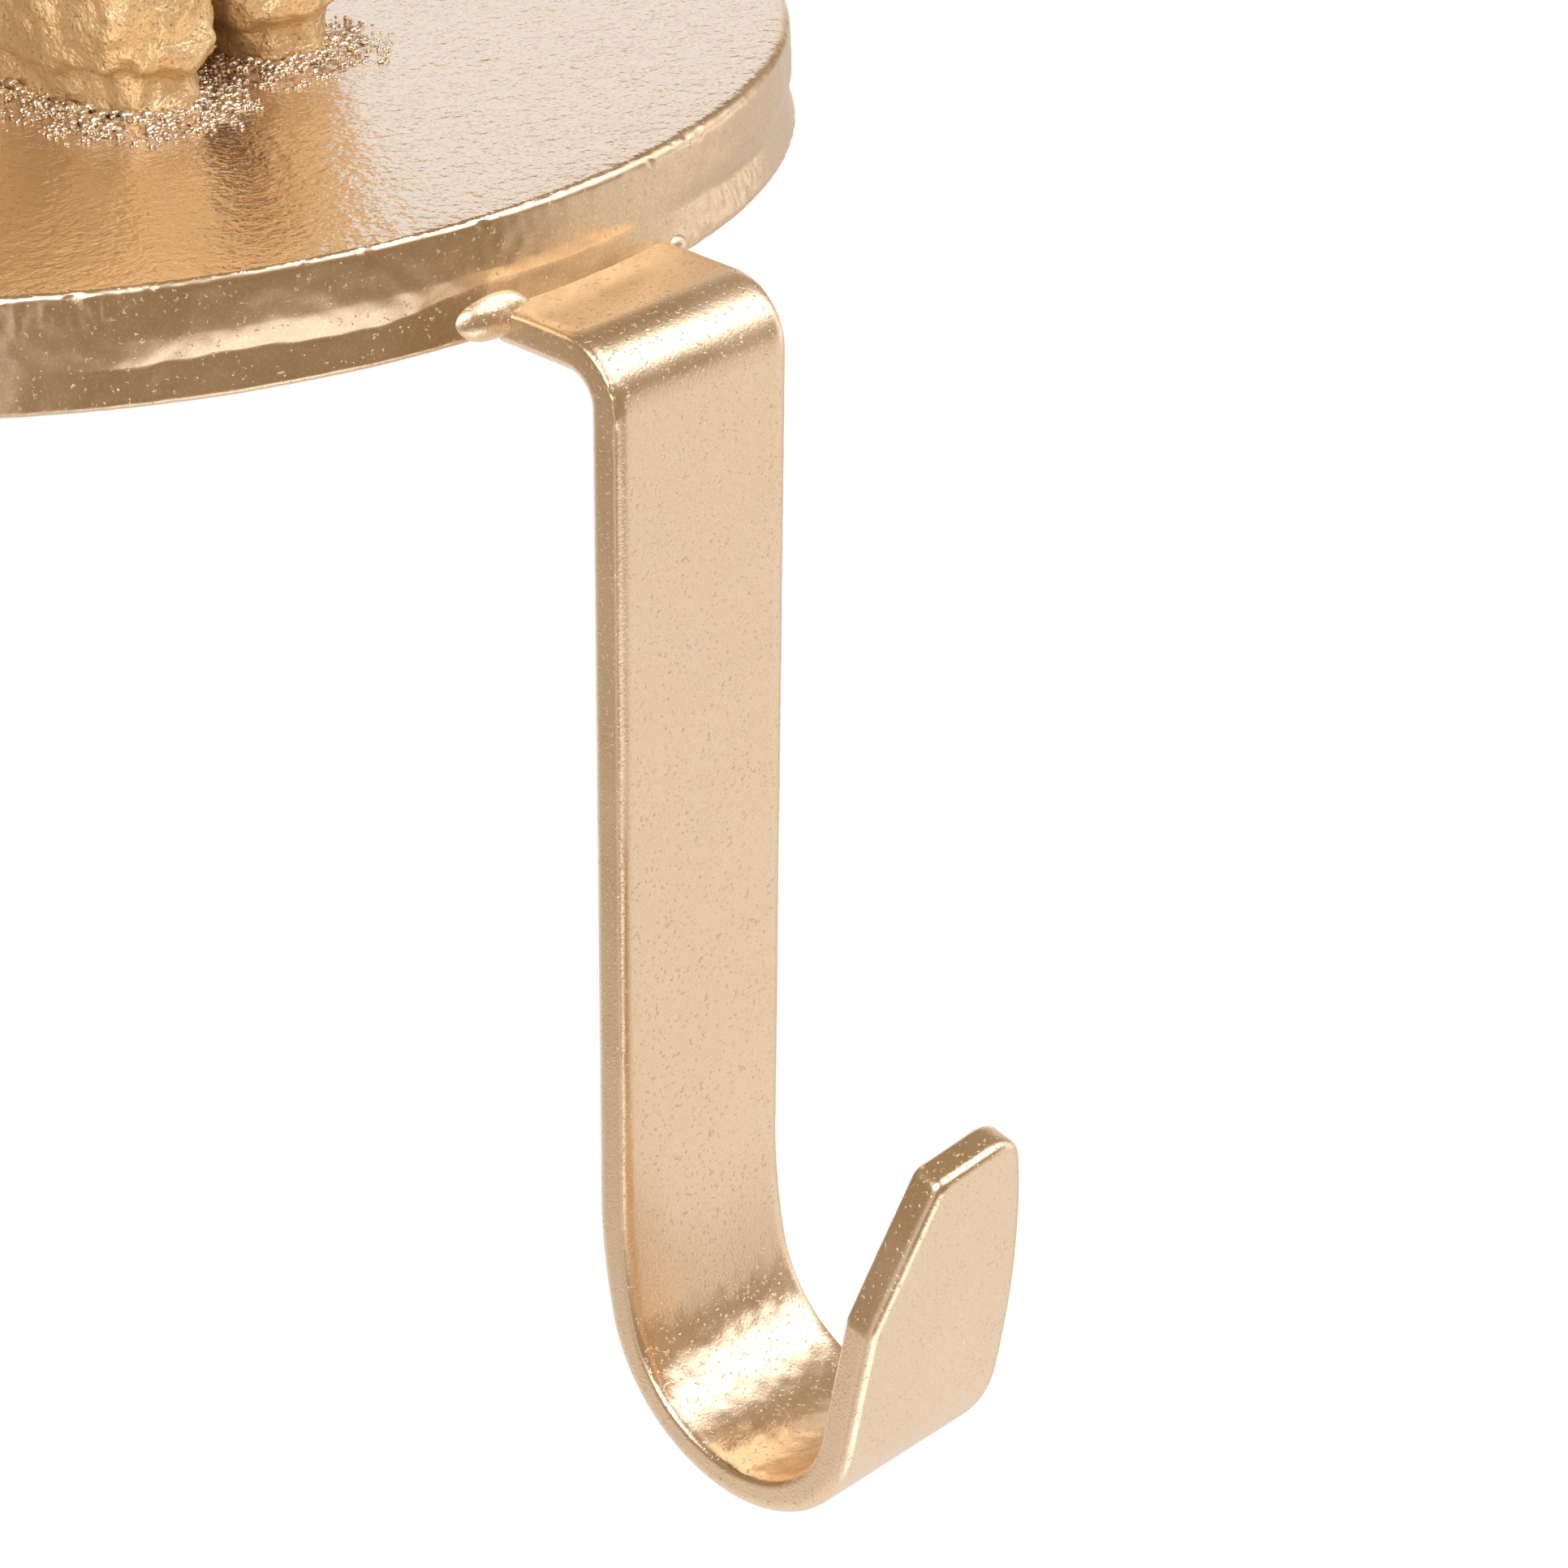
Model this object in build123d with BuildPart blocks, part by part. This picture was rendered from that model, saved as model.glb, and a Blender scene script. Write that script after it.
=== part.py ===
"""Mantel stocking holder: a weighted round plate with a flat-bar hook and a rough-cast figure welded to it.

Millimetres, +Z up. The origin is the centre of the felt's underside, which rests on the mantel.
The hook points towards -Y, over the mantel's front edge.
"""

from build123d import *
from math import atan2, cos, degrees, radians, sin, sqrt, tan
import os

# Base plate and its felt
plate_diameter = 104.0
plate_thickness = 8.4
rim_top_round = 1.0
rim_bottom_bevel = 0.5
felt_thickness = 1.0
felt_inset = 5.0

# Hook bar: sheared flat bar, its back edges rolled over and its front edges left crisp
bar_width = 16.0
bar_thickness = 2.8
bar_back_round = 0.8
bar_drop = 0.8
hook_offset = 2.2

# Hook line, measured on the insides of its curves
hook_reach = 10.4
root_length = 4.0
run_lean = 3.0
bend_radius = 2.0
shank_lean = 5.0
shank_length = 63.2
entry_radius = 44.0
entry_angle = 13.0
curl_radius = 9.7
curl_angle = 156.5

# Tip, cut by hand: clipped straight on the left, curving in on the right
shoulder_height = 12.0
left_corner_width = 3.8
left_corner_height = 24.0
left_corner_round = 1.2
right_side_radius = 80.0
right_side_angle = 18.0
right_corner_round = 3.0

# Weld beads in the corners between bar and rim: half length, radius and way out along the rim of each drop
left_bead_length = 3.9
left_bead_radius = 1.9
left_bead_shift = 1.7
right_bead_length = 2.2
right_bead_radius = 1.4
right_bead_shift = 0.6
bead_turn = 20.0
bead_lift = 1.1

# Rough-cast figure: two feet, the left one set forward, under a plain body drawn in to a round crown
left_toe = (-6.0, -15.1)
left_heel = (-6.8, 6.0)
right_toe = (7.7, -12.8)
right_heel = (7.4, 6.0)
sole_radius = 3.7
sole_height = 3.2
lip_radius = 4.8
lip_bevel = 0.8
foot_height = 17.0
foot_flare = 6.6
cap_bevel = 2.2
body_underside = 12.0
body_radius = 17.0
body_bevel = 2.4
body_forward = 3.5
belly_height = 22.0
crown_radius = 11.0
figure_height = 62.0

# Grainy bead round the feet
foot_bead_width = 4.4
foot_bead_crest = 1.0
foot_bead_height = 0.9

# Levels and places that follow from the sizes above
plate_radius = plate_diameter / 2
plate_bottom = felt_thickness
plate_top = plate_bottom + plate_thickness
half_width = bar_width / 2
half_thickness = bar_thickness / 2
bar_underside = plate_bottom - bar_drop
bar_middle = bar_underside + half_thickness
run_start = plate_radius - root_length
bend_middle = plate_radius + hook_reach - bar_thickness - bend_radius
bend_start = bend_middle + (bend_radius + half_thickness) * sin(radians(run_lean))
run_drop = (bend_start - run_start) * tan(radians(run_lean))

os.makedirs("parts", exist_ok=True)


# Base plate: a thick disc, its upper rim rolled over and its lower rim bevelled
with BuildPart() as base_plate:
    with BuildSketch(Plane.XY.offset(plate_bottom)):
        Circle(plate_radius)
    extrude(amount=plate_thickness)
    chamfer(base_plate.edges().group_by(Axis.Z)[0], length=rim_bottom_bevel)
    fillet(base_plate.edges().group_by(Axis.Z)[-1], radius=rim_top_round)

base_plate.part.label = "base_plate"
export_step(base_plate.part, "parts/base_plate.step")


# Felt: a die-cut disc glued under the plate
with BuildPart() as felt_pad:
    with BuildSketch():
        Circle(plate_radius - felt_inset)
    extrude(amount=felt_thickness)

felt_pad.part.label = "felt_pad"
export_step(felt_pad.part, "parts/felt_pad.step")


# Hook line: out from the rim, down over the mantel's edge and round the curl
hook_plane = Plane(origin=(hook_offset, 0, 0), x_dir=(0, -1, 0), z_dir=(-1, 0, 0))

with BuildLine(hook_plane) as hook_line:
    run = Line((run_start, bar_middle), (bend_start, bar_middle - run_drop))
    bend = JernArc(run @ 1, run % 1, bend_radius + half_thickness, run_lean - 90 - shank_lean)
    shank = PolarLine(bend @ 1, shank_length, direction=bend % 1)
    entry = JernArc(shank @ 1, shank % 1, entry_radius + half_thickness, entry_angle)
    curl = JernArc(entry @ 1, entry % 1, curl_radius + half_thickness, curl_angle)

tip_axis = Axis(curl @ 1, curl % 1)
tip_plane = Plane(origin=curl @ 1, x_dir=(1, 0, 0), z_dir=Vector(1, 0, 0).cross(curl % 1))
bar_plane = Plane(origin=run @ 0, x_dir=(1, 0, 0), z_dir=run % 0)

# Hook: one bar along that line, ending in a flat tip that is clipped on the left and rounded on the right
with BuildPart() as hook:
    with BuildSketch(tip_plane.offset(-half_thickness)) as tip_outline:
        with BuildLine():
            right_side = JernArc((half_width, 0), (0, 1), right_side_radius, right_side_angle)
            Polyline(
                right_side @ 1,
                (-left_corner_width, left_corner_height),
                (-half_width, shoulder_height),
                (-half_width, 0),
                right_side @ 0,
            )
        make_face()
        fillet(tip_outline.vertices().sort_by(Axis.X)[2], radius=left_corner_round)
        fillet(tip_outline.vertices().sort_by(Axis.X)[-2], radius=right_corner_round)
    extrude(amount=bar_thickness)
    tip_normal = Axis(tip_plane.origin, tip_plane.z_dir)
    tip_back = hook.faces().sort_by(tip_normal)[-1]
    fillet(tip_back.edges().sort_by(tip_axis)[1:], radius=bar_back_round)

    with BuildSketch(bar_plane) as bar_section:
        Rectangle(bar_width, bar_thickness)
        fillet(bar_section.vertices().group_by(Axis.Y)[0], radius=bar_back_round)
    sweep(path=hook_line.wire())

    # The bar's end is ground to the curve of the rim
    with BuildSketch(Plane.XY.offset(bar_underside - bar_thickness)):
        Circle(plate_radius)
    extrude(amount=3 * bar_thickness, mode=Mode.SUBTRACT)

hook.part.label = "hook"
export_step(hook.part, "parts/hook.step")


# Weld beads: a drop in each corner between the bar's side and the rim
bead_sizes = (
    (-1, left_bead_length, left_bead_radius, left_bead_shift),
    (1, right_bead_length, right_bead_radius, right_bead_shift),
)

with BuildPart() as hook_welds:
    for side, length, radius, shift in bead_sizes:
        corner_x = hook_offset + side * (half_width + shift)
        corner_y = -sqrt(plate_radius**2 - corner_x**2)
        corner = Vector(corner_x, corner_y, bar_middle + bead_lift)
        along = Vector(cos(radians(bead_turn)), side * sin(radians(bead_turn)), 0)
        with BuildSketch(Plane(origin=corner, x_dir=along, z_dir=(0, 0, 1))):
            with BuildLine():
                SagittaArc((-length, 0), (length, 0), radius)
                Line((-length, 0), (length, 0))
            make_face()
        revolve(axis=Axis(corner, along))
    with BuildSketch():
        Circle(plate_radius)
    extrude(amount=plate_top, mode=Mode.SUBTRACT)
    add(hook.part, mode=Mode.SUBTRACT)

hook_welds.part.label = "hook_welds"
export_step(hook_welds.part, "parts/hook_welds.step")


def foot_outline(toe, heel, radius):
    """A slot that runs from the toe's centre to the heel's."""
    run = Vector(*toe) - Vector(*heel)
    middle = (Vector(*toe) + Vector(*heel)) / 2
    with Locations(middle):
        SlotCenterToCenter(run.length, 2 * radius, rotation=degrees(atan2(run.Y, run.X)))


feet = ((left_toe, left_heel), (right_toe, right_heel))

# Figure, half profile of the body: flank, ogive and crown meet tangentially
rise = figure_height - crown_radius - belly_height
ogive_radius = (body_radius**2 + rise**2 - crown_radius**2) / (2 * (body_radius - crown_radius))
ogive_turn = degrees(atan2(rise, ogive_radius - body_radius))

with BuildPart() as body:
    with BuildSketch(Plane.XZ) as body_profile:
        with BuildLine():
            flank = Line((body_radius, body_underside), (body_radius, belly_height))
            ogive = JernArc(flank @ 1, flank % 1, ogive_radius, ogive_turn)
            crown = JernArc(ogive @ 1, ogive % 1, crown_radius, 90 - ogive_turn)
            Polyline(crown @ 1, (0, body_underside), flank @ 0)
        make_face()
        lower_corner = body_profile.vertices().group_by(Axis.Y)[0].sort_by(Axis.X)[-1]
        chamfer(lower_corner, length=body_bevel)
    revolve(axis=Axis.Z)

# Figure: each foot has a tucked-in sole under a bevelled lip
with BuildPart() as ornament:
    for toe, heel in feet:
        with BuildSketch(Plane.XY.offset(plate_top + sole_height)):
            foot_outline(toe, heel, lip_radius)
        extrude(amount=foot_height - sole_height, taper=-foot_flare)
    chamfer(ornament.edges().group_by(Axis.Z)[0], length=lip_bevel)
    chamfer(ornament.edges().group_by(Axis.Z)[-1], length=cap_bevel)
    for toe, heel in feet:
        with BuildSketch(Plane.XY.offset(plate_top)):
            foot_outline(toe, heel, sole_radius)
        extrude(amount=sole_height)
    with Locations((0, -body_forward, plate_top)):
        add(body.part)

ornament.part.label = "ornament"
export_step(ornament.part, "parts/ornament.step")


# Bead that joins the feet to the plate
with BuildPart() as ornament_weld:
    for toe, heel in feet:
        for level, width in ((0, foot_bead_width), (foot_bead_height, foot_bead_crest)):
            with BuildSketch(Plane.XY.offset(plate_top + level)):
                foot_outline(toe, heel, sole_radius + width)
        loft(ruled=True)
    add(ornament.part, mode=Mode.SUBTRACT)

ornament_weld.part.label = "ornament_weld"
export_step(ornament_weld.part, "parts/ornament_weld.step")
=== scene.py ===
"""Mantel stocking holder in gold paint: a cast plate, a flat-bar hook and a rough-cast figure on two feet.

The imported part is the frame. Sizes are in its millimetres, and MM turns them into metres.
A span is two values between which something comes on. Waves, swells and lumps are pairs of (size, height).
"""

import math
import random

import bmesh
import bpy
import numpy as np
from mathutils import Matrix, Vector, noise


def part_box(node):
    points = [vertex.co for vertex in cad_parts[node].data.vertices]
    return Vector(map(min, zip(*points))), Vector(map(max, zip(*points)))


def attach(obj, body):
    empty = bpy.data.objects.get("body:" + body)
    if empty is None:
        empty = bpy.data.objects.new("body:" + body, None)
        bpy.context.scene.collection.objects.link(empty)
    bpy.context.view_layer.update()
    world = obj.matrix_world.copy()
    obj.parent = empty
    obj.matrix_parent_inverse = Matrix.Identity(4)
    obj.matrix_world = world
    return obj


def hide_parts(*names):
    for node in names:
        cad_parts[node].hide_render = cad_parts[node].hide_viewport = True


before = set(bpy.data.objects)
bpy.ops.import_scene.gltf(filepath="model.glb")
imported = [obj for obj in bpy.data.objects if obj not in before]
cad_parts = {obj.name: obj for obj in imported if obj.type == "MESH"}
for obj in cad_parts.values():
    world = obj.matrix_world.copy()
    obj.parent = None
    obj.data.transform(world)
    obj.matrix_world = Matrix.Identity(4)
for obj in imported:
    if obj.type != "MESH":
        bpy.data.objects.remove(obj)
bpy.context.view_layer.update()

MM = 0.001
dice = random.Random(7)

# Sizes that the frame gives
plate_low, plate_high = (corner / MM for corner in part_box("base_plate"))
hook_low, hook_high = (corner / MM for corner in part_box("hook"))
PLATE_RADIUS = plate_high.x
PLATE_BOTTOM = plate_low.z
PLATE_TOP = plate_high.z
HALF_WIDTH = (hook_high.x - hook_low.x) / 2
HOOK_OFFSET = (hook_high.x + hook_low.x) / 2

# Rim: a rolled-over top edge, then a wall that draws in to a ledge and leans out again below it
SHARP_ROUND = 0.5
SOFT_ROUND = 0.95
WALL_LEVEL = 5.8
LEDGE_LEVEL = 3.9
LEDGE_DEPTH = 0.48
LEDGE_CURVE = 1.4
LEVEL_WAVES = ((9.0, 0.5), (2.5, 0.2))
DEPTH_WAVES = ((6.0, 0.3),)
RIM_FOOT = 0.5

# Where the rim changes, with spans in radians: at the faint angle the ledge is lost and the top edge sharp,
# and beside the hook's run the ledge is higher and shallow
FAINT_ANGLE = math.radians(-132)
LEDGE_SPAN = (-0.05, 0.25)
SOFT_SPAN = (0.4, 1.1)
RUN_ANGLE = math.asin(HOOK_OFFSET / PLATE_RADIUS) - math.pi / 2
RUN_RISE = 0.8
RUN_RISE_SPAN = (0.36, 0.15)
RUN_DEPTH_PART = 0.3
RUN_DEPTH_SPAN = (0.15, 0.32)

# Skin of the rim: waves, nicks in its top edge, and patches of casting sand, each (angle, level)
RIM_WAVES = ((1.2, 0.05), (3.5, 0.06))
RIM_SKIN_SPAN = (PLATE_RADIUS - 3.0, PLATE_RADIUS - 0.6)
NICK_SIZE = 1.2
NICK_DEPTH = 0.5
NICK_START = 0.4
NICK_SPAN = (PLATE_TOP - 1.2, PLATE_TOP - 0.4)
SAND_PATCHES = ((math.radians(-131), 8.0), (math.radians(-69), 2.8))
SAND_TURN_SPAN = (0.16, 0.06)
SAND_LEVEL_SPAN = (1.4, 0.5)
SAND_SIZE = 0.5
SAND_HEIGHT = 0.22

# Steps of the plate's mesh, and the parts of its radius where its flat faces have points
RIM_STEPS = 1600
ROUND_STEPS = 8
WALL_STEPS = 8
DRAW_STEPS = 12
LEAN_STEPS = 8
FOOT_STEPS = 5
TOP_PARTS = (0.1, 0.4, 0.7, 0.9)
UNDERSIDE_PARTS = (0.85, 0.1)

# Hook line, measured on the insides of its curves
HALF_THICKNESS = 1.4
ROOT_MIDDLE = 1.6
ROOT_LENGTH = 4.0
ROOT_OVERLAP = 0.5
HOOK_REACH = 10.4
RUN_LEAN = math.radians(3.0)
BEND_RADIUS = 2.0
SHANK_LEAN = math.radians(5.0)
SHANK_LENGTH = 63.2
ENTRY_RADIUS = 44.0
ENTRY_ANGLE = math.radians(13.0)
CURL_RADIUS = 9.7
CURL_ANGLE = math.radians(156.5)

# Edges of the bar: a soft roll in front, a round at the back, and the levels of points on the side between
FRONT_ROLL = 1.1
FRONT_ROUND = 0.5
BACK_ROUND = 0.8
SIDE_LEVELS = (0.6, 0.2, -0.2)

# Tip: clipped straight on the left, curving in on the right
SHOULDER_HEIGHT = 12.0
LEFT_CORNER = (-3.8, 24.0)
LEFT_CORNER_ROUND = 1.2
RIGHT_SIDE_RADIUS = 80.0
RIGHT_SIDE_ANGLE = math.radians(18.0)
RIGHT_CORNER_ROUND = 3.0

# Skin of the bar: waves, pits low in the curl, and a burr on the front edges, highest at the bend's left
BAR_WAVES = ((7.0, 0.03),)
PIT_SIZE = 1.3
PIT_DEPTH = 0.05
PIT_OCTAVES = 2
PIT_DROP_SPAN = (74.0, 80.0)
PIT_FACE_SPAN = (0.0, 1.0)
BURR_FACE_SPAN = (0.5, 1.0)
BURR_REACH = 0.5
BURR_REACH_SPAN = (0.0, 0.4)
FINE_BURR_SIZE = 0.7
COARSE_BURR_SIZE = 1.7
COARSE_BURR_PART = 0.6
BURR_HEIGHT = 0.04
BEND_BURR_HEIGHT = 0.24
BEND_BURR_LEVEL = -1.5
BEND_BURR_SPAN = (2.5, 1.0)

# Steps of the bar's mesh: along the run, the curves, the shank and the tip, and across the bar
RUN_STEPS = 20
BEND_STEPS = 36
SHANK_STEPS = 150
ENTRY_STEPS = 24
CURL_STEPS = 96
SIDE_STEPS = 20
CLIP_STEPS = 24
CORNER_STEPS = 10
FRONT_STEPS = 8
BACK_STEPS = 6
ACROSS_STEPS = 44

# Weld drops between bar and rim, left and right: drawn together, flattened, and moved to their seats
DROP_VOXEL = 0.12
DROP_LEVEL = 2.9
DROP_DEPTH = 1.0
DROP_PARTS = (0.9, 0.6)
DROP_FLATTEN = 0.7
DROP_MOVES = ((0.9, 0.0, -0.3), (0.6, 0.4, -0.9))
DROP_SWELLS = ((3.0, 0.3),)
DROP_LUMPS = ((2.4, 0.15),)

# Rough-cast figure
FIGURE_VOXEL = 0.38
FIGURE_SWELLS = ((7.0, 1.0), (2.2, 0.7), (1.0, 0.25))

# Feet of the figure: toe and heel centres, and the radius of their soles
FEET = (((-6.0, -15.1), (-6.8, 6.0)), ((7.7, -12.8), (7.4, 6.0)))
SOLE_RADIUS = 3.7

# Bead round the feet, which slopes down from its crest
BEAD_VOXEL = 0.3
BEAD_CREST = 1.0
BEAD_WIDTH = 4.4
BEAD_HEIGHT = 0.9
BEAD_SINK = 0.35
BEAD_LUMPS = ((1.0, 0.5),)

# Grains on the bead, in clumps and rarer away from the soles: a few are large, all are squashed and dented
GRAIN_COUNT = 4800
GRAIN_FIELD_X = (-19, 19)
GRAIN_FIELD_Y = (-27, 18)
GRAIN_SPREAD = 5.8
GRAIN_FADE = 1.5
GRAIN_BITE = 0.4
CLUMP_SIZE = 1.8
CLUMP_MEAN = 0.6
CLUMP_SWING = 1.3
GRAIN_SIZES = (0.10, 0.22)
LARGE_GRAIN = 0.45
LARGE_GRAIN_RARITY = 5
GRAIN_LIFTS = (-0.3, 0.5)
GRAIN_SQUASH = ((0.75, 1.3), (0.75, 1.3), (0.6, 1.0))
GRAIN_DENTS = (0.6, 1.35)

# Meshing of a copied solid: how much its grid is softened, and the middle level of its lumps
SOFTEN_PART = 0.5
SOFTEN_ROUNDS = 4
LUMP_MIDDLE = 0.25

# Colours
SATIN_GOLD = (0.88, 0.68, 0.48)
CAST_GOLD = (0.90, 0.63, 0.34)
WELD_GOLD = (0.84, 0.70, 0.55)
FELT_DARK = (0.02, 0.02, 0.02)
FELT_PALE = (0.09, 0.088, 0.085)
ROOM_SHADE = (0.34, 0.24, 0.135)
LAMP_WHITE = (0.92, 1.04, 1.19)
WHITE = (1, 1, 1)

# Detail of the gold paint: a tint is a part of each channel, and the spans are levels of noise
CLOUD_SIZE = 8.0
CLOUD_OCTAVES = 3.0
CLOUD_SPAN = (0.35, 0.65)
CLOUD_TINT = (0.95, 0.93, 0.89)
CLOUD_GLOSS_SPAN = (0.3, 0.7)
CLOUD_GLOSS_PARTS = (0.85, 1.15)
MOTTLE_SIZE = 0.2
MOTTLE_SPAN = (0.45, 0.7)
MOTTLE_TINT = (0.92, 0.88, 0.8)
SPECK_SIZE = 0.32
SPECK_FADE = 0.08
SPECK_TINT = (0.62, 0.52, 0.42)
FLAKE_SIZE = 0.36
FLAKE_FADE = 0.12
FLAKE_HEIGHT = 0.03

# Gloss of the plate's top, and painted shade that darkens the paint of its rim: distances below the top where
# they end and begin
COAT_IOR = 2.0
COAT_END = 0.2
RIM_SHADE_START = 0.1
RIM_SHADE_FULL = 0.6
RIM_SHADE_PART = 0.85
RIM_SHADE_TINT = (0.75, 0.70, 0.62)

# Felt
FIBRE_SIZE = 0.5
FIBRE_OCTAVES = 4.0
FIBRE_SPAN = (0.3, 0.7)
FIBRE_HEIGHT = 0.25
FELT_ROUGHNESS = 0.95
FELT_SHEEN = 0.4

# Camera
AZIMUTH = math.radians(-43.53)
ELEVATION = math.radians(26.77)
ROLL = math.radians(-3.26)
DISTANCE = 323.66
AIM_RIGHT = 5.44
AIM = Vector((HOOK_OFFSET, -60.0, PLATE_BOTTOM - 34.58))
SENSOR = 36.0
FOCAL_PIXELS = 5693.17
FRAME_PIXELS = 1932
CLIP_START = 10.0

# Light of the studio: a direction, the angles round it where the light ends and is full, and its strength
SOFTBOX = ((0.35, -0.57, 0.74), 31, 22, 2.1)
WING = ((0.80, -0.35, 0.49), 20, 8, 1.3)
SIDE_WALL = ((0.94, -0.25, 0.08), 24, 8, 0.9)
FILL = ((-0.74, -0.36, 0.57), 34, 12, 3.3)
BACKDROP = ((0.62, 0.72, 0.16), 31, 21, 0.68)
GLOW = ((-0.05, -0.61, -0.79), 27, 12, 1.0)

# White table of the studio, by height, and the dark gaps in it, in the same form as the light
TABLE_SPAN = (0.0, -0.17)
TABLE_STRENGTH = 0.70
LEFT_GAP = ((-0.45, -0.82, -0.30), 34, 20, 1.0)
FRONT_GAP = ((0.20, -0.93, -0.28), 27, 16, 1.0)
BACK_GAP = ((-0.75, 0.65, 0.10), 46, 31, 0.9)
RIGHT_GAP = ((0.88, 0.20, -0.40), 34, 12, 0.3)
EDGE_GAP = ((-0.88, 0.0, -0.45), 30, 14, 0.6)

# Floor
FLOOR_HALF = 900.0
FLOOR_LEVEL = -400.0


def smooth_step(x, low, high):
    """0 at low and 1 at high, smooth between and level beyond."""
    t = min(max((x - low) / (high - low), 0.0), 1.0)
    return t * t * (3 - 2 * t)


def swell(spot, waves):
    """The height of smooth waves at a spot."""
    return sum(height * noise.noise(spot / size) for size, height in waves)


def fractions(steps):
    """Even steps up to 1, without 0."""
    return [step / steps for step in range(1, steps + 1)]


def quarter_turns(steps, first=0):
    """Angles in even steps over a quarter of a circle."""
    return [math.pi / 2 * step / steps for step in range(first, steps + 1)]


def turn_of(way):
    """The angle of a direction in the plane."""
    return math.atan2(way.y, way.x)


def scaled(color, tint):
    """A colour with each channel times its part in the tint."""
    return tuple(channel * part for channel, part in zip(color, tint))


def new_object(name, verts, faces):
    """A smooth mesh object from millimetre points, its faces turned outwards."""
    mesh = bpy.data.meshes.new(name)
    mesh.from_pydata((np.asarray(verts) * MM).tolist(), [], faces)
    shell = bmesh.new()
    shell.from_mesh(mesh)
    bmesh.ops.recalc_face_normals(shell, faces=shell.faces)
    shell.to_mesh(mesh)
    shell.free()
    mesh.polygons.foreach_set("use_smooth", [True] * len(mesh.polygons))
    obj = bpy.data.objects.new(name, mesh)
    bpy.context.scene.collection.objects.link(obj)
    return obj


def remeshed(node, name, voxel):
    """A copy of a node's solid, evenly meshed and slightly softened."""
    obj = bpy.data.objects.new(name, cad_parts[node].data.copy())
    bpy.context.scene.collection.objects.link(obj)
    grid = obj.modifiers.new("grid", "REMESH")
    grid.mode = "VOXEL"
    grid.voxel_size = voxel * MM
    soft = obj.modifiers.new("soft", "SMOOTH")
    soft.factor = SOFTEN_PART
    soft.iterations = SOFTEN_ROUNDS
    done = bpy.data.meshes.new_from_object(obj.evaluated_get(bpy.context.evaluated_depsgraph_get()))
    obj.modifiers.clear()
    obj.data = done
    done.polygons.foreach_set("use_smooth", [True] * len(done.polygons))
    return obj


def joined(first, second):
    """The first object with the second one's mesh added to its own."""
    both = bmesh.new()
    both.from_mesh(first.data)
    both.from_mesh(second.data)
    both.to_mesh(first.data)
    both.free()
    bpy.data.objects.remove(second)
    return first


def roughen(obj, swells, lumps=(), sink=0.0):
    """Push each point along its normal by smooth swells and by lumps with creases between them.

    The whole is lowered by sink.
    """
    mesh = obj.data
    normals = [vertex.normal.copy() for vertex in mesh.vertices]
    for vertex, normal in zip(mesh.vertices, normals):
        spot = vertex.co / MM
        push = swell(spot, swells)
        push += sum(height * (abs(noise.noise(spot / size)) - LUMP_MIDDLE) for size, height in lumps)
        vertex.co += normal * (push * MM) - Vector((0, 0, sink * MM))
    mesh.update()


def dress(obj, node, paint):
    """The piece takes the place of a node, with its paint."""
    obj.data.materials.clear()
    obj.data.materials.append(paint)
    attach(obj, "root")
    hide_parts(node)


class Nodes:
    """Short calls that add nodes to a tree."""

    def __init__(self, tree):
        self.tree = tree

    def add(self, kind, **sockets):
        """A new node with values on some of its inputs."""
        made = self.tree.nodes.new("ShaderNode" + kind)
        for key, value in sockets.items():
            made.inputs[key].default_value = value
        return made

    def link(self, out, socket):
        """An output joined to an input."""
        self.tree.links.new(out, socket)

    def spread(self, value, low, high, to_low=0.0, to_high=1.0):
        """The value carried smoothly from low..high to to_low..to_high."""
        made = self.add("MapRange")
        made.interpolation_type = "SMOOTHSTEP"
        for key, number in (("From Min", low), ("From Max", high), ("To Min", to_low), ("To Max", to_high)):
            made.inputs[key].default_value = number
        self.link(value, made.inputs["Value"])
        return made.outputs["Result"]

    def math(self, operation, *values):
        """An operation on two values, each a number or an output."""
        made = self.add("Math")
        made.operation = operation
        for socket, value in zip(made.inputs, values):
            if isinstance(value, float):
                socket.default_value = value
            else:
                self.link(value, socket)
        return made.outputs["Value"]

    def height(self, place):
        """The Z of a place."""
        made = self.add("SeparateXYZ")
        self.link(place, made.inputs[0])
        return made.outputs["Z"]

    def noise(self, place, size, octaves=2.0):
        """Noise with features of about that size in mm."""
        made = self.add("TexNoise", Scale=1 / (size * MM), Detail=octaves)
        self.link(place, made.inputs["Vector"])
        return made.outputs["Fac"]

    def ramp(self, value, span, colors):
        """A colour that goes from the first to the second as the value goes through the span."""
        made = self.add("ValToRGB")
        for stop, position, color in zip(made.color_ramp.elements, span, colors):
            stop.position = position
            stop.color = (*color, 1)
        self.link(value, made.inputs["Fac"])
        return made.outputs["Color"]

    def tint(self, factor, color, over):
        """The colour laid over another where the factor is 1. The node's colour inputs are 6 and 7."""
        made = self.add("Mix")
        made.data_type = "RGBA"
        made.inputs[7].default_value = (*color, 1)
        self.link(factor, made.inputs[0])
        self.link(over, made.inputs[6])
        return made.outputs[2]

    def bump(self, height, depth, under=None):
        """A normal with that height times the depth in mm, over another normal if there is one."""
        made = self.add("Bump", Strength=1.0, Distance=depth * MM)
        self.link(height, made.inputs["Height"])
        if under:
            self.link(under, made.inputs["Normal"])
        return made.outputs["Normal"]

    def mix(self, factor, first, second):
        """The first shader where the factor is 0, and the second where it is 1."""
        made = self.add("MixShader")
        self.link(factor, made.inputs["Fac"])
        self.link(first.outputs[0], made.inputs[1])
        self.link(second.outputs[0], made.inputs[2])
        return made


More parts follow.
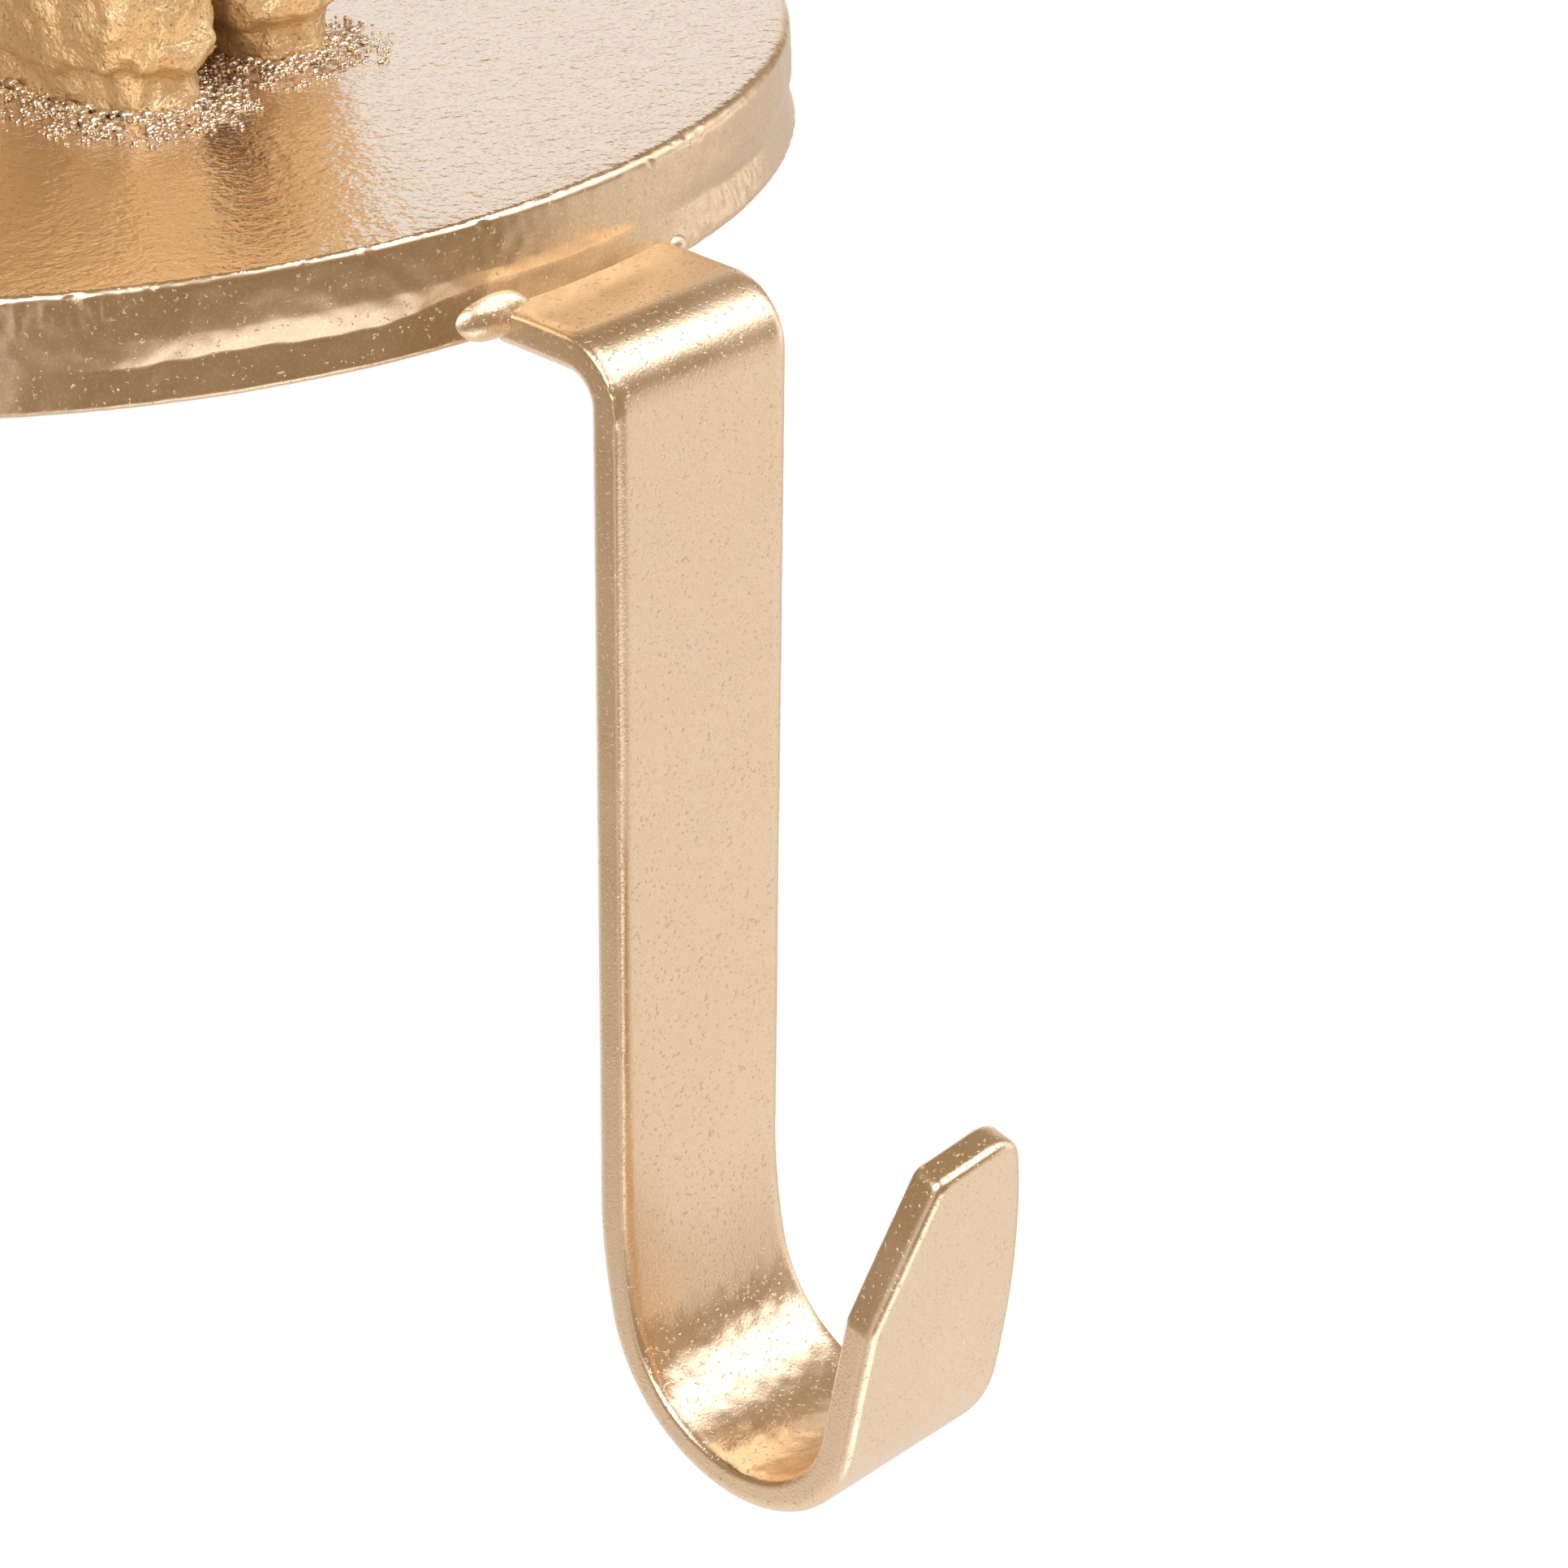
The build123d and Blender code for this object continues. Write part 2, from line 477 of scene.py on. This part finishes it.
def new_material(name):
    """A material, the calls that add to its nodes, and its shader."""
    made = bpy.data.materials.new(name)
    made.use_nodes = True
    return made, Nodes(made.node_tree), made.node_tree.nodes["Principled BSDF"]


def gold(name, color, waves, metal, roughness, specks, flakes, gloss_level=None):
    """Gold paint: cloudy, mottled colour with dark specks, over a skin of waves and raised flakes.

    Specks and flakes show where their noise is above the level given. With a gloss level, the waves and
    a glossy coat lie above that height alone, and below it the paint is darkened with painted shade.
    """
    made, nodes, surface = new_material(name)
    place = nodes.add("TexCoord").outputs["Object"]
    clouds = nodes.noise(place, CLOUD_SIZE, CLOUD_OCTAVES)
    base = nodes.ramp(clouds, CLOUD_SPAN, (scaled(color, CLOUD_TINT), color))
    if gloss_level:
        height = nodes.height(place)
        top = nodes.spread(height, (gloss_level - COAT_END) * MM, gloss_level * MM)
        # Painted shade: below the gloss level the paint of the rim wall is darkened
        rim_shade_span = ((gloss_level - RIM_SHADE_FULL) * MM, (gloss_level - RIM_SHADE_START) * MM)
        dark = nodes.spread(height, *rim_shade_span, RIM_SHADE_PART, 0.0)
        base = nodes.tint(dark, scaled(color, RIM_SHADE_TINT), base)
    mottle = nodes.spread(nodes.noise(place, MOTTLE_SIZE), *MOTTLE_SPAN)
    base = nodes.tint(mottle, scaled(color, MOTTLE_TINT), base)
    dots = nodes.spread(nodes.noise(place, SPECK_SIZE), specks, specks + SPECK_FADE)
    base = nodes.tint(dots, scaled(color, SPECK_TINT), base)
    nodes.link(base, surface.inputs["Base Color"])
    surface.inputs["Metallic"].default_value = metal

    gloss = nodes.spread(clouds, *CLOUD_GLOSS_SPAN, *(roughness * part for part in CLOUD_GLOSS_PARTS))
    if gloss_level:
        gloss = nodes.math("SUBTRACT", gloss, nodes.math("MULTIPLY", top, roughness / 3))
        nodes.link(top, surface.inputs["Coat Weight"])
        surface.inputs["Coat IOR"].default_value = COAT_IOR
        surface.inputs["Coat Roughness"].default_value = roughness / 2
    nodes.link(gloss, surface.inputs["Roughness"])

    raised = nodes.spread(nodes.noise(place, FLAKE_SIZE), flakes, flakes + FLAKE_FADE)
    skin = nodes.bump(raised, FLAKE_HEIGHT)
    for size, depth in waves:
        wave = nodes.noise(place, size)
        if gloss_level:
            wave = nodes.math("MULTIPLY", nodes.math("SUBTRACT", wave, 0.5), top)
        skin = nodes.bump(wave, depth, skin)
    nodes.link(skin, surface.inputs["Normal"])
    nodes.link(skin, surface.inputs["Coat Normal"])
    return made


def felt_cloth():
    """Pressed black felt."""
    made, nodes, surface = new_material("felt")
    fibres = nodes.noise(nodes.add("TexCoord").outputs["Object"], FIBRE_SIZE, FIBRE_OCTAVES)
    nodes.link(nodes.ramp(fibres, FIBRE_SPAN, (FELT_DARK, FELT_PALE)), surface.inputs["Base Color"])
    surface.inputs["Roughness"].default_value = FELT_ROUGHNESS
    surface.inputs["Sheen Weight"].default_value = FELT_SHEEN
    nodes.link(nodes.bump(fibres, FIBRE_HEIGHT), surface.inputs["Normal"])
    return made


def rim_profile(angle):
    """(radius, height) from the plate's top, down its rim and under it."""
    way = Vector((math.cos(angle), math.sin(angle), 0)) * PLATE_RADIUS
    from_run = abs(angle - RUN_ANGLE)
    from_faint = abs(angle - FAINT_ANGLE)
    ledge = LEDGE_LEVEL + RUN_RISE * smooth_step(from_run, *RUN_RISE_SPAN) + swell(way, LEVEL_WAVES)
    depth = LEDGE_DEPTH * (1.0 + swell(way, DEPTH_WAVES)) * smooth_step(from_faint, *LEDGE_SPAN)
    depth *= RUN_DEPTH_PART + (1 - RUN_DEPTH_PART) * smooth_step(from_run, *RUN_DEPTH_SPAN)
    rolled = SHARP_ROUND + (SOFT_ROUND - SHARP_ROUND) * smooth_step(from_faint, *SOFT_SPAN)
    top = PLATE_TOP - rolled
    foot = PLATE_BOTTOM + RIM_FOOT

    points = [(PLATE_RADIUS * part, PLATE_TOP) for part in TOP_PARTS]
    for turn in quarter_turns(ROUND_STEPS):
        points.append((PLATE_RADIUS - rolled * (1 - math.sin(turn)), top + rolled * math.cos(turn)))
    for t in fractions(WALL_STEPS):
        points.append((PLATE_RADIUS, top + (WALL_LEVEL - top) * t))
    for t in fractions(DRAW_STEPS):
        points.append((PLATE_RADIUS - depth * t**LEDGE_CURVE, WALL_LEVEL + (ledge - WALL_LEVEL) * t))
    for t in fractions(LEAN_STEPS):
        points.append((PLATE_RADIUS - depth * (1 - t), ledge + (foot - ledge) * t))
    for turn in quarter_turns(FOOT_STEPS, 1):
        points.append((PLATE_RADIUS - RIM_FOOT * (1 - math.cos(turn)), foot - RIM_FOOT * math.sin(turn)))
    points += [(PLATE_RADIUS * part, PLATE_BOTTOM) for part in UNDERSIDE_PARTS]
    return points


def rim_skin(spot):
    """How far the rim stands out at a spot: waves, nicks in its top edge, and grains of casting sand."""
    nick = smooth_step(spot.z, *NICK_SPAN) * NICK_DEPTH * max(0.0, noise.noise(spot / NICK_SIZE) - NICK_START)
    sand = 0.0
    for angle, level in SAND_PATCHES:
        away = abs(turn_of(spot) - angle)
        sand += smooth_step(away, *SAND_TURN_SPAN) * smooth_step(abs(spot.z - level), *SAND_LEVEL_SPAN)
    return swell(spot, RIM_WAVES) - nick + sand * SAND_HEIGHT * max(0.0, noise.noise(spot / SAND_SIZE))


def build_plate():
    """The cast plate, turned step by step with a wavering rim."""
    verts, faces = [], []
    for step in range(RIM_STEPS):
        angle = 2 * math.pi * step / RIM_STEPS - math.pi
        out = Vector((math.cos(angle), math.sin(angle), 0))
        for radius, height in rim_profile(angle):
            spot = out * radius + Vector((0, 0, height))
            verts.append(spot + out * rim_skin(spot) * smooth_step(radius, *RIM_SKIN_SPAN))
    rings = len(verts) // RIM_STEPS
    for step in range(RIM_STEPS):
        here = step * rings
        there = (step + 1) % RIM_STEPS * rings
        for k in range(rings - 1):
            faces.append((here + k, here + k + 1, there + k + 1, there + k))
    faces.append([step * rings for step in range(RIM_STEPS)])
    faces.append([step * rings + rings - 1 for step in reversed(range(RIM_STEPS))])
    return new_object("plate_casting", verts, faces)


def hook_path():
    """The bar's middle line from its bend to its tip, as rows of (u, z, heading): u is -Y."""
    bend = BEND_RADIUS + HALF_THICKNESS
    u = PLATE_RADIUS + HOOK_REACH - 2 * HALF_THICKNESS - BEND_RADIUS + bend * math.sin(RUN_LEAN)
    z = ROOT_MIDDLE - (u - PLATE_RADIUS + ROOT_LENGTH) * math.tan(RUN_LEAN)
    heading = -RUN_LEAN
    rows = [(u, z, heading)]
    stretches = (
        (bend, RUN_LEAN - math.pi / 2 - SHANK_LEAN, BEND_STEPS),
        (SHANK_LENGTH, 0.0, SHANK_STEPS),
        (ENTRY_RADIUS + HALF_THICKNESS, ENTRY_ANGLE, ENTRY_STEPS),
        (CURL_RADIUS + HALF_THICKNESS, CURL_ANGLE, CURL_STEPS),
    )
    for size, turn, steps in stretches:
        part = turn / steps
        chord = 2 * size * math.sin(abs(part) / 2) if turn else size / steps
        for _ in range(steps):
            u += chord * math.cos(heading + part / 2)
            z += chord * math.sin(heading + part / 2)
            heading += part
            rows.append((u, z, heading))
    return rows


def edge_levels():
    """(inset, height) over the bar's front edge, down its side and under its rolled back edge."""
    levels = []
    for turn in quarter_turns(FRONT_STEPS):
        inset = FRONT_ROLL * (1 - math.sin(turn))
        levels.append((inset, HALF_THICKNESS - FRONT_ROUND * (1 - math.cos(turn))))
    levels += [(0, height) for height in SIDE_LEVELS]
    for turn in quarter_turns(BACK_STEPS):
        inset = BACK_ROUND * (1 - math.cos(turn))
        levels.append((inset, -HALF_THICKNESS + BACK_ROUND * (1 - math.sin(turn))))
    return levels


def arc_points(centre, radius, start, end, steps):
    """(point, outward normal) along an arc, its first point left out."""
    found = []
    for step in range(1, steps + 1):
        turn = start + (end - start) * step / steps
        way = Vector((math.cos(turn), math.sin(turn)))
        found.append((centre + way * radius, way))
    return found


def edge_normal(start, end):
    """The outward normal of a straight edge of the tip, which is followed clockwise."""
    way = (end - start).normalized()
    return Vector((-way.y, way.x))


def left_tip_side(corner, top_out):
    """The tip's left outline: straight up to the shoulder, clipped, and round at the corner."""
    shoulder = Vector((-HALF_WIDTH, SHOULDER_HEIGHT))
    side_out = Vector((-1, 0))
    clip_out = edge_normal(shoulder, corner)
    hub = corner - (clip_out + top_out) * (LEFT_CORNER_ROUND / (1 + clip_out.dot(top_out)))
    clip_end = hub + clip_out * LEFT_CORNER_ROUND
    points = []
    for step in range(1, SIDE_STEPS):
        points.append((Vector((-HALF_WIDTH, SHOULDER_HEIGHT * step / SIDE_STEPS)), side_out))
    points.append((shoulder, (side_out + clip_out) / (1 + side_out.dot(clip_out))))
    points += [(shoulder.lerp(clip_end, t), clip_out) for t in fractions(CLIP_STEPS)]
    return points + arc_points(hub, LEFT_CORNER_ROUND, turn_of(clip_out), turn_of(top_out), CORNER_STEPS)


def right_tip_side(side_hub, corner, top_out):
    """The tip's right outline: one long curve, and a round that meets it and the top edge."""
    top = Vector((top_out.y, -top_out.x))
    start = corner - top_out * RIGHT_CORNER_ROUND - side_hub
    along = start.dot(top)
    reach = RIGHT_SIDE_RADIUS - RIGHT_CORNER_ROUND
    hub = side_hub + start + top * (math.sqrt(along**2 - start.length_squared + reach**2) - along)
    lean = turn_of(hub - side_hub)
    points = arc_points(side_hub, RIGHT_SIDE_RADIUS, 0, lean, SIDE_STEPS + CLIP_STEPS)
    return points + arc_points(hub, RIGHT_CORNER_ROUND, lean, turn_of(top_out), CORNER_STEPS)


def tip_sides():
    """The tip's left and right outlines, each as (point, outward normal) from its root to its top edge."""
    corner = Vector(LEFT_CORNER)
    side_hub = Vector((HALF_WIDTH - RIGHT_SIDE_RADIUS, 0))
    side_end = Vector((math.cos(RIGHT_SIDE_ANGLE), math.sin(RIGHT_SIDE_ANGLE))) * RIGHT_SIDE_RADIUS
    top_out = edge_normal(corner, side_hub + side_end)
    return left_tip_side(corner, top_out), right_tip_side(side_hub, corner, top_out)


def bar_skin(spot, edge, height):
    """How far the bar's skin stands out, by the distance from its edge and the height in its thickness."""
    wave = swell(spot, BAR_WAVES)
    pits = smooth_step(-spot.z, *PIT_DROP_SPAN) * smooth_step(height, *PIT_FACE_SPAN)
    wave += pits * PIT_DEPTH * noise.fractal(spot / PIT_SIZE, 1.0, 2.0, PIT_OCTAVES)
    front = smooth_step(height, *BURR_FACE_SPAN) * smooth_step(BURR_REACH - edge, *BURR_REACH_SPAN)
    fine = max(0.0, noise.noise(spot / FINE_BURR_SIZE))
    coarse = max(0.0, noise.noise(spot / COARSE_BURR_SIZE))
    at_bend = smooth_step(abs(spot.z - BEND_BURR_LEVEL), *BEND_BURR_SPAN) * (spot.x < HOOK_OFFSET)
    burr = BURR_HEIGHT + BEND_BURR_HEIGHT * at_bend
    return wave + front * burr * (fine + COARSE_BURR_PART * coarse)


def on_run(first, step):
    """The places of one row on the run, which goes from the curve of the rim to the path's first row."""
    first_u, first_z, heading = first

    def where(flat):
        rim = math.sqrt(PLATE_RADIUS**2 - (flat.x + HOOK_OFFSET) ** 2) - ROOT_OVERLAP
        u = rim + (first_u - rim) * step / RUN_STEPS
        return u, first_z + (first_u - u) * math.tan(RUN_LEAN), heading

    return where


def on_tip(last):
    """The places on the flat tip, which goes on straight from the path's last row."""
    last_u, last_z, heading = last

    def where(flat):
        return last_u + flat.y * math.cos(heading), last_z + flat.y * math.sin(heading), heading

    return where


def bar_row(verts, ends, level, whole, where):
    """Adds points across the bar, from its left to its right end, and gives their numbers.

    A point's place (u, z, heading) comes from where. Without whole, only the two ends are made.
    """
    left, right = ends
    inset, height = level
    numbers = [None] * (ACROSS_STEPS + 1)
    for k in range(ACROSS_STEPS + 1) if whole else (0, ACROSS_STEPS):
        flat = left.lerp(right, k / ACROSS_STEPS)
        edge = inset + min(k, ACROSS_STEPS - k) * (right - left).length / ACROSS_STEPS
        u, z, heading = where(flat)
        up = Vector((0, math.sin(heading), math.cos(heading)))
        spot = Vector((HOOK_OFFSET + flat.x, -u, z)) + up * height
        numbers[k] = len(verts)
        verts.append(spot + up * bar_skin(spot, edge, height))
    return numbers


def bar_level(verts, path, sides, level):
    """Rows along the bar at one level of its edge. The two faces and the tip's top edge have whole rows."""
    inset, height = level
    face = abs(height) == HALF_THICKNESS
    ends = (Vector((inset - HALF_WIDTH, 0)), Vector((HALF_WIDTH - inset, 0)))
    rows = [bar_row(verts, ends, level, face, on_run(path[0], step)) for step in range(RUN_STEPS)]
    rows += [bar_row(verts, ends, level, face, lambda flat, place=place: place) for place in path]
    for pair in sides:
        ends = [point - out * inset for point, out in pair]
        whole = face or pair is sides[-1]
        rows.append(bar_row(verts, ends, level, whole, on_tip(path[-1])))
    return rows


def bar_faces(grids):
    """The bar's front and back, the edge between them as loops round the tip, and its end at the rim."""
    faces = []
    for grid, way in ((grids[0], 1), (grids[-1], -1)):
        for low, high in zip(grid, grid[1:]):
            for k in range(ACROSS_STEPS):
                faces.append((low[k], low[k + 1], high[k + 1], high[k])[::way])
    loops = []
    for grid in grids:
        loops.append([row[0] for row in grid] + grid[-1][1:-1] + [row[-1] for row in reversed(grid)])
    for upper, lower in zip(loops, loops[1:]):
        for k in range(len(upper) - 1):
            faces.append((upper[k], upper[k + 1], lower[k + 1], lower[k]))
    root = [grid[0] for grid in grids]
    right_edge = [row[-1] for row in root[1:-1]]
    left_edge = [row[0] for row in root[-2:0:-1]]
    faces.append(root[0] + right_edge + root[-1][::-1] + left_edge)
    return faces


def build_hook():
    """The bar, from the rim to its tip."""
    verts = []
    path = hook_path()
    sides = list(zip(*tip_sides()))
    grids = [bar_level(verts, path, sides, level) for level in edge_levels()]
    return new_object("hook_bar", verts, bar_faces(grids))


def build_figure():
    """The figure's casting: the CAD form with uneven lumps."""
    figure = remeshed("ornament", "figure_casting", FIGURE_VOXEL)
    roughen(figure, FIGURE_SWELLS)
    return figure


def sole_distance(x, y):
    """How far a spot on the plate lies outside the nearest sole."""
    nearest = math.inf
    for toe, heel in FEET:
        along = Vector(heel) - Vector(toe)
        way = Vector((x, y)) - Vector(toe)
        t = min(max(way.dot(along) / along.length_squared, 0.0), 1.0)
        nearest = min(nearest, (way - along * t).length - SOLE_RADIUS)
    return nearest


def grain_spots():
    """(centre, radius) of grains heaped against the soles and strewn over the plate round them."""
    spots = []
    while len(spots) < GRAIN_COUNT:
        x = dice.uniform(*GRAIN_FIELD_X)
        y = dice.uniform(*GRAIN_FIELD_Y)
        away = sole_distance(x, y)
        near = 1 - away / GRAIN_SPREAD
        clump = CLUMP_MEAN + CLUMP_SWING * noise.noise(Vector((x, y, 0)) / CLUMP_SIZE)
        if away < -GRAIN_BITE or near < 0 or dice.random() > clump * near**GRAIN_FADE:
            continue
        size = dice.uniform(*GRAIN_SIZES) + LARGE_GRAIN * dice.random() ** LARGE_GRAIN_RARITY * near
        slope = max(0.0, BEAD_WIDTH - away) / (BEAD_WIDTH - BEAD_CREST)
        bead = BEAD_HEIGHT * min(1.0, slope) - BEAD_SINK
        height = PLATE_TOP + max(bead, 0.0) + size * dice.uniform(*GRAIN_LIFTS)
        spots.append(((x, y, height), size))
    return spots


def build_grains(spots):
    """Small weld grains: balls of (centre, radius), each squashed and dented."""
    ball = bmesh.new()
    bmesh.ops.create_icosphere(ball, subdivisions=1, radius=1.0)
    points = np.array([vertex.co for vertex in ball.verts])
    corners = np.array([[vertex.index for vertex in face.verts] for face in ball.faces])
    ball.free()
    verts, faces = [], []
    for number, (centre, radius) in enumerate(spots):
        squash = np.array([dice.uniform(*bounds) for bounds in GRAIN_SQUASH])
        dents = np.array([[dice.uniform(*GRAIN_DENTS)] for _ in points])
        verts.append(points * dents * (squash * radius) + np.array(centre))
        faces.append(corners + number * len(points))
    return new_object("foot_grains", np.concatenate(verts), np.concatenate(faces).tolist())


def build_foot_weld():
    """The bead round the feet, with its grains."""
    bead = remeshed("ornament_weld", "foot_weld", BEAD_VOXEL)
    roughen(bead, (), BEAD_LUMPS, BEAD_SINK)
    return joined(bead, build_grains(grain_spots()))


def build_drops():
    """The two weld drops at the bar's root, smeared into the corners between bar and rim."""
    drops = remeshed("hook_welds", "hook_beads", DROP_VOXEL)
    for vertex in drops.data.vertices:
        right = vertex.co.x > HOOK_OFFSET * MM
        corner_x = HOOK_OFFSET + (HALF_WIDTH if right else -HALF_WIDTH)
        middle = Vector((corner_x, DROP_DEPTH - PLATE_RADIUS, DROP_LEVEL)) * MM
        way = (vertex.co - middle) * DROP_PARTS[right]
        moved = Vector(DROP_MOVES[right]) * MM
        vertex.co = middle + Vector((way.x, way.y * DROP_FLATTEN, way.z)) + moved
    drops.data.update()
    roughen(drops, DROP_SWELLS, DROP_LUMPS)
    return drops


def build_camera():
    """The camera that the photo was taken with."""
    level = math.cos(ELEVATION)
    back = Vector((math.sin(AZIMUTH) * level, -math.cos(AZIMUTH) * level, math.sin(ELEVATION)))
    right = Vector((math.cos(AZIMUTH), math.sin(AZIMUTH), 0))
    up = back.cross(right)
    rolled_right = math.cos(ROLL) * right + math.sin(ROLL) * up
    rolled_up = -math.sin(ROLL) * right + math.cos(ROLL) * up
    spot = (AIM + right * AIM_RIGHT + back * DISTANCE) * MM
    axes = Matrix((rolled_right, rolled_up, back)).transposed()
    lens = bpy.data.cameras.new("camera")
    lens.sensor_width = SENSOR
    lens.lens = SENSOR * FOCAL_PIXELS / FRAME_PIXELS
    lens.clip_start = CLIP_START * MM
    obj = bpy.data.objects.new("camera", lens)
    obj.matrix_world = Matrix.Translation(spot) @ axes.to_4x4()
    bpy.context.scene.collection.objects.link(obj)
    bpy.context.scene.camera = obj


def lobe(nodes, way, centre, outer, inner, strength):
    """Light round a direction, full inside one angle and gone outside another."""
    dot = nodes.add("VectorMath")
    dot.operation = "DOT_PRODUCT"
    dot.inputs[1].default_value = Vector(centre).normalized()
    nodes.link(way, dot.inputs[0])
    low = math.cos(math.radians(outer))
    high = math.cos(math.radians(inner))
    return nodes.spread(dot.outputs["Value"], low, high, 0.0, strength)


def studio_light(nodes):
    """The strength of the white light from each direction: lamps, backdrop, and a table with dark gaps."""
    way = nodes.add("TexCoord").outputs["Generated"]
    table = nodes.spread(nodes.height(way), *TABLE_SPAN, 0.0, TABLE_STRENGTH)
    for gap in (LEFT_GAP, FRONT_GAP, BACK_GAP, RIGHT_GAP, EDGE_GAP):
        kept = nodes.math("SUBTRACT", 1.0, lobe(nodes, way, *gap))
        table = nodes.math("MULTIPLY", table, kept)
    light = lobe(nodes, way, *SOFTBOX)
    for lamp in (WING, SIDE_WALL, FILL, BACKDROP):
        light = nodes.math("ADD", light, lobe(nodes, way, *lamp))
    light = nodes.math("ADD", light, table)
    return nodes.math("ADD", light, lobe(nodes, way, *GLOW))


def build_studio():
    """A room with warm shade and white light. To the eye its background is plain white."""
    world = bpy.data.worlds.new("studio")
    bpy.context.scene.world = world
    world.use_nodes = True
    world.node_tree.nodes.clear()
    nodes = Nodes(world.node_tree)
    lamp = nodes.add("Background", Color=(*LAMP_WHITE, 1))
    nodes.link(studio_light(nodes), lamp.inputs["Strength"])
    shade = nodes.add("Background", Color=(*ROOM_SHADE, 1))
    room = nodes.add("AddShader")
    nodes.link(lamp.outputs[0], room.inputs[0])
    nodes.link(shade.outputs[0], room.inputs[1])
    white = nodes.add("Background", Color=(*WHITE, 1))
    seen = nodes.mix(nodes.add("LightPath").outputs["Is Camera Ray"], room, white)
    nodes.link(seen.outputs[0], nodes.add("OutputWorld").inputs["Surface"])


def build_floor():
    """A pale floor far below, white to the eye. Glossy rays pass it and meet the studio's own table."""
    made, nodes, surface = new_material("floor")
    ray = nodes.add("LightPath")
    white = nodes.add("Emission", Color=(*WHITE, 1))
    seen = nodes.mix(ray.outputs["Is Camera Ray"], surface, white)
    passed = nodes.mix(ray.outputs["Is Glossy Ray"], seen, nodes.add("BsdfTransparent"))
    nodes.link(passed.outputs[0], made.node_tree.nodes["Material Output"].inputs["Surface"])
    signs = ((-1, -1), (1, -1), (1, 1), (-1, 1))
    corners = [(FLOOR_HALF * x, FLOOR_HALF * y, FLOOR_LEVEL) for x, y in signs]
    floor = new_object("floor", corners, [(0, 1, 2, 3)])
    floor.data.materials.append(made)


bpy.context.scene.view_settings.view_transform = "Standard"
build_camera()
build_studio()
build_floor()

# Below the plate's top, painted shade darkens the paint of its rim
plate_paint = gold(
    "plate_gold", SATIN_GOLD, waves=((3.0, 0.06), (0.9, 0.18), (0.35, 0.05)),
    metal=0.95, roughness=0.3, specks=0.71, flakes=0.65, gloss_level=PLATE_TOP,
)
hook_paint = gold(
    "hook_gold", SATIN_GOLD, waves=((5.0, 0.03), (0.24, 0.016)),
    metal=0.92, roughness=0.28, specks=0.71, flakes=0.61,
)
cast_paint = gold(
    "cast_gold", CAST_GOLD, waves=((1.2, 0.2), (0.5, 0.16), (0.24, 0.08)),
    metal=0.55, roughness=0.34, specks=0.6, flakes=0.64,
)
# Its dark specks are denser than on the other paints: painted shade that stands in for the shadows between
# the grains
weld_paint = gold(
    "weld_gold", WELD_GOLD, waves=((0.5, 0.05), (0.2, 0.02)),
    metal=0.9, roughness=0.16, specks=0.58, flakes=0.66,
)
drop_paint = gold(
    "bead_gold", SATIN_GOLD, waves=((0.8, 0.06), (0.24, 0.02)),
    metal=0.92, roughness=0.34, specks=0.71, flakes=0.62,
)

dress(build_plate(), "base_plate", plate_paint)
dress(build_hook(), "hook", hook_paint)
dress(build_figure(), "ornament", cast_paint)
dress(build_foot_weld(), "ornament_weld", weld_paint)
dress(build_drops(), "hook_welds", drop_paint)
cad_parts["felt_pad"].material_slots[0].material = felt_cloth()
